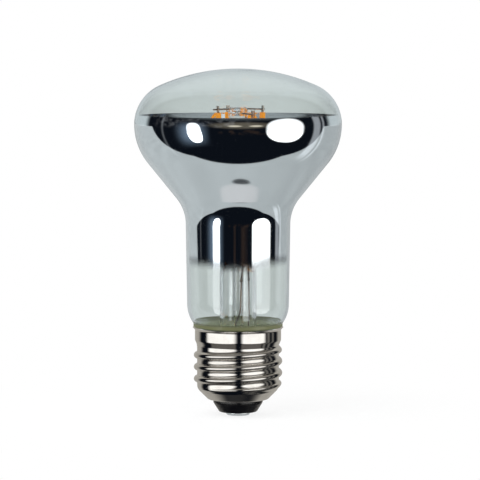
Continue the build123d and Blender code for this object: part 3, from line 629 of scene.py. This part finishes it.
# %% Metal finishes
METALS = {
    "shell_metal": ((0.775, 0.765, 0.745, 1), (0.70, 0.685, 0.66, 1), 0.06, 0.16),
    "contact_metal": ((0.85, 0.85, 0.84, 1), (0.70, 0.70, 0.69, 1), 0.25, 0.45),
    "tab_metal": ((0.60, 0.56, 0.50, 1), (0.42, 0.38, 0.33, 1), 0.2, 0.4),
    "nickel_wire": ((0.36, 0.33, 0.31, 1), (0.20, 0.17, 0.15, 1), 0.25, 0.5),
    "copper_wire": ((0.34, 0.24, 0.19, 1), (0.20, 0.15, 0.13, 1), 0.3, 0.55),
    "can_metal": ((0.42, 0.45, 0.50, 1), (0.30, 0.32, 0.36, 1), 0.25, 0.45),
    "coil_copper": ((0.62, 0.27, 0.10, 1), (0.45, 0.18, 0.07, 1), 0.2, 0.4, 2600.0, 0.3),
    "solder": ((0.70, 0.70, 0.70, 1), (0.55, 0.55, 0.55, 1), 0.15, 0.35),
}
PATCH_SHARE, MARK_SHARE = 0.6, 0.4


def metal_finish(name, colour, worn, smooth, rough, marks_scale=900.0, bump=0.05):
    """Metal with hairlines and dull patches."""
    material, tree, shader = new_finish(name, Metallic=1.0)
    marks = use_group(tree, MARKS, Scale=marks_scale)
    patches = use_group(tree, CLOUDS, Scale=220.0, Contrast=0.2)["Mask"]
    tree.links.new(mix_colours(tree, patches, colour, worn), shader.inputs["Base Color"])
    dull = product(tree, patches, PATCH_SHARE)
    dull = maths(tree, "ADD", dull, product(tree, marks["Mask"], MARK_SHARE))
    tree.links.new(ramp_between(tree, dull, 0.0, 1.0, smooth, rough), shader.inputs["Roughness"])
    add_bump(tree, shader, marks["Height"], bump, 0.00005)
    return material


for name, recipe in METALS.items():
    FINISHES[name] = metal_finish(name, *recipe)
print("metals", len(METALS))

# %% [markdown]
# ## Moulded and sintered pieces
# Plastic, ferrite, lacquer and cured cement share one recipe: a base colour that drifts a little, a
# fine grain in the bump, and a roughness that varies with the same patches. Two of them have a painted
# glow: a faint emission brightens the strips' coating and the shaded cement behind glass, though neither is a
# lamp.

# %% Other finishes
MOULDED = {
    "strip_coating": ((1.0, 0.40, 0.015, 1), (0.97, 0.31, 0.005, 1), 0.35, 0.5),
    "cement_olive": ((0.48, 0.52, 0.30, 1), (0.60, 0.62, 0.36, 1), 0.35, 0.6, 1200.0, 0.3),
    "insulator_black": ((0.004, 0.004, 0.005, 1), (0.007, 0.007, 0.008, 1), 0.12, 0.26),
    "sleeve_white": ((0.80, 0.80, 0.77, 1), (0.72, 0.72, 0.69, 1), 0.4, 0.55),
    "board_green": ((0.03, 0.16, 0.06, 1), (0.04, 0.20, 0.08, 1), 0.25, 0.4),
    "package_black": ((0.02, 0.02, 0.022, 1), (0.03, 0.03, 0.032, 1), 0.5, 0.65),
    "ferrite": ((0.05, 0.05, 0.055, 1), (0.08, 0.08, 0.08, 1), 0.5, 0.7),
    "resistor_body": ((0.12, 0.30, 0.42, 1), (0.10, 0.25, 0.36, 1), 0.3, 0.45),
    "tubing": ((0.78, 0.74, 0.62, 1), (0.68, 0.64, 0.52, 1), 0.7, 0.85, 3500.0, 0.5),
}
# Painted light: a faint emission makes the strips' coating and the cement glow, though neither is a lamp.
PAINTED_GLOW = {
    "strip_coating": {"Emission_Color": (1.0, 0.36, 0.01, 1), "Emission_Strength": 0.34},
    "cement_olive": {"Emission_Color": (0.40, 0.45, 0.24, 1), "Emission_Strength": 0.16},
}


def moulded_finish(name, colour, drift, smooth, rough, grain_scale=2500.0, bump=0.1):
    """Opaque material with drifting colour, a fine grain, and for two finishes a painted glow."""
    material, tree, shader = new_finish(name, **PAINTED_GLOW.get(name, {}))
    patches = use_group(tree, CLOUDS, Scale=260.0, Contrast=0.25)["Mask"]
    tree.links.new(mix_colours(tree, patches, colour, drift), shader.inputs["Base Color"])
    tree.links.new(ramp_between(tree, patches, 0.0, 1.0, smooth, rough), shader.inputs["Roughness"])
    grain = use_group(tree, GRAIN, Scale=grain_scale)["Height"]
    add_bump(tree, shader, grain, bump, 0.0001)
    return material


for name, recipe in MOULDED.items():
    FINISHES[name] = moulded_finish(name, *recipe)
print("finishes", len(FINISHES))

# %% [markdown]
# ### Edge of the cement
# Where the cement meets the shell's rim it lies in shade, painted here as a darker base colour. A second
# ring could carry that painted shade, but a turn of the base colour with the distance from the axis needs no
# seam.

# %% Painted shade on the outer edge of the cement
# Painted shade: the dark olive that the base colour turns to outside the first radius.
PAINTED_SHADE, PAINTED_SHADE_FROM, PAINTED_SHADE_TO = (0.085, 0.085, 0.03, 1), 0.0125, 0.0133

tree = FINISHES["cement_olive"].node_tree
shader = tree.nodes["Principled BSDF"]
even = shader.inputs["Base Color"].links[0].from_socket
east, north, _ = add_node(tree, "SeparateXYZ", {0: object_place(tree)}).outputs
share = ramp_between(tree, off_axis(tree, east, north), PAINTED_SHADE_FROM, PAINTED_SHADE_TO)
tree.links.new(mix_colours(tree, share, even, PAINTED_SHADE), shader.inputs["Base Color"])
print("cement darkens outside", PAINTED_SHADE_FROM)

# %% [markdown]
# ## CAD nodes that stay
# Most nodes keep their CAD mesh. It is loose triangles, so a small modifier welds them and shades
# them smooth up to a crease angle. The mesh itself isn't touched.

# %% Smooth shading for CAD nodes
CREASE_ANGLE, WELD_DISTANCE = radians(32), 1e-7


def crease_group(angle):
    """Geometry nodes that weld a mesh and shade it smooth below that crease angle."""
    group = bpy.data.node_groups.new("weld_and_smooth", "GeometryNodeTree")
    group.interface.new_socket("Geometry", in_out="INPUT", socket_type="NodeSocketGeometry")
    group.interface.new_socket("Geometry", in_out="OUTPUT", socket_type="NodeSocketGeometry")
    start, end = group.nodes.new("NodeGroupInput"), group.nodes.new("NodeGroupOutput")
    weld = group.nodes.new("GeometryNodeMergeByDistance")
    weld.inputs["Distance"].default_value = WELD_DISTANCE
    smooth = group.nodes.new("GeometryNodeSetShadeSmooth")
    crease = group.nodes.new("GeometryNodeSetShadeSmooth")
    crease.domain = "EDGE"
    crease.inputs["Shade Smooth"].default_value = False
    turn = group.nodes.new("GeometryNodeInputMeshEdgeAngle")
    sharp = group.nodes.new("FunctionNodeCompare")
    sharp.operation = "GREATER_THAN"
    sharp.inputs["B"].default_value = angle
    group.links.new(start.outputs[0], weld.inputs["Geometry"])
    group.links.new(weld.outputs[0], smooth.inputs["Geometry"])
    group.links.new(smooth.outputs[0], crease.inputs["Geometry"])
    group.links.new(turn.outputs["Unsigned Angle"], sharp.inputs["A"])
    group.links.new(sharp.outputs[0], crease.inputs["Selection"])
    group.links.new(crease.outputs[0], end.inputs[0])
    return group


CREASE = crease_group(CREASE_ANGLE)
SLOT_OF = {part["node"]: part["material_slot"] for part in frame["record"]["subparts"]}
CAP_NODES = ("screw_shell", "cap_insulator")
for node_name, node in frame["nodes"].items():
    node.data.materials.clear()
    node.data.materials.append(FINISHES[SLOT_OF[node_name]])
    (CAP_SIDE if node_name in CAP_NODES else GLASS_SIDE).objects.link(node)
    modifier = node.modifiers.new("weld_and_smooth", "NODES")
    modifier.node_group = CREASE
print("dressed nodes", len(SLOT_OF))

# %% [markdown]
# ## Turned pieces
# Glass, film, cement, insulator and contact are turned forms. A bmesh gets the half section as
# vertices and edges, and the spin operator turns it round the axis with its last step merged to its
# first. Then doubles on the axis are merged, and the normals are made to point outwards. A lathe
# modifier would do the same, but the operator leaves a plain mesh that can be measured at once.

# %% Helpers for half sections
def arc(centre, radius, start, end, steps):
    """Points along an arc in the half section, in millimetres, from one angle to another."""
    turns = [radians(start + (end - start) * step / steps) for step in range(steps + 1)]
    return [(centre[0] + radius * cos(turn), centre[1] + radius * sin(turn)) for turn in turns]


def line(start, end, steps):
    """Points along a straight line, both ends included."""
    run, rise = end[0] - start[0], end[1] - start[1]
    return [(start[0] + run * step / steps, start[1] + rise * step / steps) for step in range(steps + 1)]


def join(*runs):
    """One list of points from several, without the points that two runs share."""
    points = []
    for run in runs:
        for point in run:
            if not points or (Vector(point) - Vector(points[-1])).length > 1e-4:
                points.append(point)
    return points


# %% Helpers that turn and dress a piece
DOUBLES, SLIVERS = 1e-7, 1e-8


def finish_mesh(builder, name, slot, nodes, crease=35.0, side=GLASS_SIDE):
    """Object from a bmesh, shaded smooth, dressed, and riding on the root."""
    mesh = bpy.data.meshes.new(name)
    builder.to_mesh(mesh)
    builder.free()
    mesh.shade_smooth()
    mesh.set_sharp_from_angle(angle=radians(crease))
    piece = bpy.data.objects.new(name, mesh)
    scene.collection.objects.link(piece)
    mesh.materials.append(FINISHES[slot])
    side.objects.link(piece)
    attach(piece, "root")
    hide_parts(*nodes)
    print(name, "faces", len(mesh.polygons), "top", round(max(v.co.z for v in mesh.vertices) * 1000, 2))


def turned(section, segments):
    """Closed half section in millimetres turned once round the axis."""
    builder = bmesh.new()
    corners = [builder.verts.new((x / 1000, 0.0, z / 1000)) for x, z in section]
    edges = [builder.edges.new((corners[i - 1], corners[i])) for i in range(len(corners))]
    bmesh.ops.spin(
        builder, geom=corners + edges, cent=(0, 0, 0), axis=(0, 0, 1), dvec=(0, 0, 0),
        angle=2 * pi, steps=segments, use_merge=True, use_duplicate=False,
    )
    bmesh.ops.remove_doubles(builder, verts=builder.verts, dist=DOUBLES)
    bmesh.ops.dissolve_degenerate(builder, dist=SLIVERS, edges=builder.edges)
    bmesh.ops.recalc_face_normals(builder, faces=builder.faces)
    return builder


# %% [markdown]
# ## Glass envelope
# One blown piece: dome, shoulder, belly, cone, neck and heel, and the skirt that is sealed inside
# the cap. Its outline is a chain of arcs, each tangent to the next, and the inner skin is the same
# chain one wall further in. A real wall matters here: glass bends light at both of its skins.

# %% Outline of the glass
LENGTH = 105.6
BULB_R, DOME_R, SHOULDER_R, BELLY_R = 31.5, 58.5, 13.0, 18.7
CONE = 39.0
NECK_R, NECK_BLEND_R = 15.9, 12.7
HEEL_X, HEEL_Z, HEEL_R, HEEL_TURN = 15.5, 34.0, 10.0, 45.0
SKIRT_R, SEAL_Z = 11.6, 20.8
WALL = 0.7

dome_z = LENGTH - DOME_R
shoulder_x = BULB_R - SHOULDER_R
equator = dome_z + sqrt((DOME_R - SHOULDER_R) ** 2 - shoulder_x ** 2)
shoulder_turn = degrees(atan2(equator - dome_z, shoulder_x))
cone = radians(CONE)
belly_end = (BULB_R - BELLY_R * (1 - cos(cone)), equator - BELLY_R * sin(cone))
blend_start_x = NECK_R + NECK_BLEND_R * (1 - cos(cone))
blend_start_z = belly_end[1] - (belly_end[0] - blend_start_x) / tan(cone)
blend_z = blend_start_z - NECK_BLEND_R * sin(cone)
heel_end_x = HEEL_X - HEEL_R * (1 - cos(radians(HEEL_TURN)))
heel_end_z = HEEL_Z - HEEL_R * sin(radians(HEEL_TURN))
skirt_blend = (heel_end_x - SKIRT_R) / (1 - cos(radians(HEEL_TURN)))
skirt_z = heel_end_z - skirt_blend * sin(radians(HEEL_TURN))


def skin(inset):
    """Points from the crown to the seal, that far inside the outer skin."""
    dome_run = arc((0, dome_z), DOME_R - inset, 90, shoulder_turn, 36)
    shoulder = arc((shoulder_x, equator), SHOULDER_R - inset, shoulder_turn, 0, 24)
    belly = arc((BULB_R - BELLY_R, equator), BELLY_R - inset, 0, -CONE, 16)
    blend = arc((NECK_R + NECK_BLEND_R, blend_z), NECK_BLEND_R + inset, 180 - CONE, 180, 14)
    heel = arc((HEEL_X - HEEL_R, HEEL_Z), HEEL_R - inset, 0, -HEEL_TURN, 10)
    skirt = arc((SKIRT_R + skirt_blend, skirt_z), skirt_blend + inset, 180 - HEEL_TURN, 180, 6)
    cone_run = line(belly[-1], blend[0], 6)
    neck_run = line(blend[-1], heel[0], 10)
    seal = [(SKIRT_R - inset, SEAL_Z)]
    return join(dome_run, shoulder, belly, cone_run, blend, neck_run, heel, skirt, seal)


print("equator", round(equator, 3), "neck blend", round(blend_z, 3), "points", len(skin(0)))

# %% Turn the glass
GLASS_SEGMENTS = 256

glass = turned(skin(0) + skin(WALL)[::-1], GLASS_SEGMENTS)
finish_mesh(glass, "blown_envelope", "clear_glass", ["glass_envelope"])

# %% [markdown]
# ## Mirror film
# The film follows the inner skin from the rim in the bowl down into the neck. It is made as a thin
# closed layer with a hair's gap to the glass, so that no two faces lie on each other.

# %% Turn the film
FILM_GAP, FILM_THICKNESS = 0.02, 0.1
FILM_TOP, FILM_BOTTOM = equator + 2.95, 44.5


def film_skin(inset):
    """The part of a skin between the film's two edges, with a point on each edge."""
    points = skin(inset)
    kept = []
    for before, after in zip(points, points[1:]):
        for edge in (FILM_TOP, FILM_BOTTOM):
            if before[1] > edge >= after[1]:
                share = (before[1] - edge) / (before[1] - after[1])
                kept.append((before[0] + (after[0] - before[0]) * share, edge))
        if FILM_BOTTOM < after[1] < FILM_TOP:
            kept.append(after)
    return join(kept)


inset = WALL + FILM_GAP
film = turned(film_skin(inset) + film_skin(inset + FILM_THICKNESS)[::-1], GLASS_SEGMENTS)
finish_mesh(film, "bright_film", "mirror_film", ["mirror_coating"])

# %% [markdown]
# ## Screw shell
# The cap is thin sheet, rolled into a round thread. A grid is the quickest start for a surface like
# this: its rows follow the shell from the mouth to the rim, and its columns go round. Each vertex is
# then pushed out to the thread's height at its own angle, less and less towards both ends, where the
# thread runs out. The seam is closed, and the solidify operator gives the sheet its thickness. A spun
# helix would need its two ends joined to the skirt and the rim by hand, which the grid spares.

# %% Sizes of the thread
THREAD_R, PITCH, CREST_ARC, ROOT_ARC = 13.2, 3.629, 0.75, 1.15
CREST_Z = 9.3
CORE_FLAT, VALLEY_ARC = 0.32, 2.7
FADE_LOW, FADE_LOW_FULL, FADE_HIGH_FULL, FADE_HIGH = 7.9, 10.2, 19.6, 22.0

half_pitch = PITCH / 2
centre_run = sqrt((CREST_ARC + ROOT_ARC) ** 2 - half_pitch ** 2)
root_r = THREAD_R - CREST_ARC - ROOT_ARC + centre_run
core_r = root_r + CORE_FLAT
flank_height = half_pitch * CREST_ARC / (CREST_ARC + ROOT_ARC)
print("root radius", round(root_r, 3), "core radius", round(core_r, 3))


# %% Helpers for lines with round corners
def rounded(corners, bends, steps):
    """Points along straight runs that are joined by arcs of the given radii."""
    points = [Vector(corners[0])]
    for before, corner, after, bend in zip(corners, corners[1:], corners[2:], bends):
        before, corner, after = Vector(before), Vector(corner), Vector(after)
        into, out = (corner - before).normalized(), (after - corner).normalized()
        half = into.angle(out) / 2
        reach = bend * tan(half)
        start, end = corner - into * reach, corner + out * reach
        centre = corner + (out - into).normalized() * (bend / cos(half))
        for step in range(steps + 1):
            spoke = (start - centre).lerp(end - centre, step / steps).normalized()
            points.append(centre + spoke * bend)
    return [tuple(point) for point in points + [Vector(corners[-1])]]


def spaced(points, step):
    """Points along the same line with no gap longer than a step."""
    result = [points[0]]
    for before, after in zip(points, points[1:]):
        gap = (Vector(after) - Vector(before)).length
        result += line(before, after, max(1, ceil(gap / step)))[1:]
    return result


# %% Line of the shell without its thread
SHELL_CORNERS = [
    (7.95, 5.1), (9.1, 5.2), (core_r, 8.3), (core_r, 21.5), (12.85, 23.1), (12.85, 26.3), (13.6, 27.1),
]
SHELL_BENDS, ROW_STEP = [0.6, 2.2, 0.9, 0.9, 0.8], 0.13

shell_line = spaced(rounded(SHELL_CORNERS, SHELL_BENDS, 8), ROW_STEP)
print("rows", len(shell_line))


# %% Height of the thread
def thread_radius(height):
    """Outer radius of the thread at that height above the middle of a crest."""
    height = abs((height + half_pitch) % PITCH - half_pitch)
    if height < flank_height:
        return THREAD_R - CREST_ARC + sqrt(CREST_ARC ** 2 - height ** 2)
    over = half_pitch - height
    return max(root_r + ROOT_ARC - sqrt(ROOT_ARC ** 2 - over ** 2), core_r + over ** 2 / (2 * VALLEY_ARC))


def thread_share(height):
    """Share of the thread's height that is left where it runs out smoothly at both ends."""
    low = (height - FADE_LOW) / (FADE_LOW_FULL - FADE_LOW)
    high = (FADE_HIGH - height) / (FADE_HIGH - FADE_HIGH_FULL)
    share = max(0.0, min(1.0, low, high))
    return share * share * (3 - 2 * share)


# %% Roll the shell
SHELL_COLUMNS, SHEET, SEAM = 192, 0.3, 1e-6

last_row = len(shell_line) - 1
rolled = bmesh.new()
bmesh.ops.create_grid(rolled, x_segments=SHELL_COLUMNS, y_segments=last_row, size=0.5)
for corner in rolled.verts:
    turn = (corner.co.x + 0.5) * 2 * pi
    radius, height = shell_line[round((corner.co.y + 0.5) * last_row)]
    thread = thread_radius(height - CREST_Z - PITCH * turn / (2 * pi))
    radius += (thread - core_r) * thread_share(height)
    corner.co = Vector((radius * cos(turn), radius * sin(turn), height)) / 1000
bmesh.ops.remove_doubles(rolled, verts=rolled.verts, dist=SEAM)
bmesh.ops.recalc_face_normals(rolled, faces=rolled.faces)
bmesh.ops.solidify(rolled, geom=rolled.faces[:], thickness=SHEET / 1000)
print("shell reaches", [round(max(corner.co[axis] for corner in rolled.verts) * 1000, 3) for axis in range(3)])
finish_mesh(rolled, "rolled_shell", "shell_metal", ["screw_shell"], 60.0, CAP_SIDE)

# %% [markdown]
# ## Cement
# The cement fills the collar between shell and glass and swells over the rim as a soft bead. Its
# inner side follows the glass outline with a hair's gap, and its outer side is a rounded line. A
# turned form is enough, because cement that is pressed in by a machine stands evenly all round.

# %% Turn the cement
CEMENT_LOW, CEMENT_HIGH, CEMENT_GAP = 21.6, 28.6, 0.05
BEAD_R, BEAD_LOW = 13.6, 27.2
CEMENT_BENDS = [0.2, 0.3, 0.3, 0.2, 0.15, 0.3]

inner_line = [point for point in skin(-CEMENT_GAP) if CEMENT_LOW < point[1] < CEMENT_HIGH]
cement_corners = [
    (inner_line[-1][0], CEMENT_LOW), (12.0, CEMENT_LOW), (12.5, 23.4), (12.5, 26.2), (13.2, BEAD_LOW),
    (BEAD_R, BEAD_LOW), (BEAD_R, CEMENT_HIGH), (inner_line[0][0], CEMENT_HIGH),
]
cement = turned(join(inner_line, rounded(cement_corners, CEMENT_BENDS, 5)), 192)
finish_mesh(cement, "cement_bed", "cement_olive", ["basing_cement"], 60.0)

# %% [markdown]
# ## Insulator and contact
# The insulator is a moulded cone under the shell, and the contact is a pressed disc with a hollow
# shank through it. Both have small round edges, which catch the light as thin lines. A bevel could
# round them afterwards, but as arcs in the half section they are round all the way after the spin.

# %% Turn the insulator and the contact
MOUTH_R, FLANGE_R, BORE_R = 7.6, 10.2, 1.55
CONE_TOP, COLLAR_TOP, FLANGE_LOW, FLANGE_HIGH = 3.9, 5.7, 7.05, 7.6
INSULATOR_TIP_R, INSULATOR_EDGE, CONE_BEND = 5.75, 0.5, 1.5
CONTACT_H, CONTACT_R, CONTACT_TIP_R = 1.0, 3.8, 3.4
CONTACT_FACE, CONTACT_CHAMFER = CONTACT_H - 0.05, CONTACT_H - 0.35
SHANK_R, SHANK_TOP, HOLE_R, HOLE_LOW = 1.5, 6.5, 0.35, 2.0

base_corners = [(BORE_R, CONTACT_H), (INSULATOR_TIP_R, CONTACT_H), (MOUTH_R, CONE_TOP), (MOUTH_R, COLLAR_TOP)]
base_line = rounded(base_corners, [INSULATOR_EDGE, CONE_BEND], 6)
base_line += [(FLANGE_R, FLANGE_LOW), (FLANGE_R, FLANGE_HIGH), (BORE_R, FLANGE_HIGH)]
finish_mesh(turned(base_line, 128), "moulded_base", "insulator_black", ["cap_insulator"], 40.0, CAP_SIDE)

tip_corners = [(0.0, 0.0), (CONTACT_TIP_R, 0.0), (CONTACT_R, CONTACT_CHAMFER), (CONTACT_R, CONTACT_FACE)]
tip_line = rounded(tip_corners, [0.25, 0.12], 5)
tip_line += [(SHANK_R, CONTACT_FACE), (SHANK_R, SHANK_TOP)]
tip_line += [(HOLE_R, SHANK_TOP), (HOLE_R, HOLE_LOW), (0.0, HOLE_LOW)]
finish_mesh(turned(tip_line, 96), "pressed_contact", "contact_metal", ["centre_contact"], 40.0)
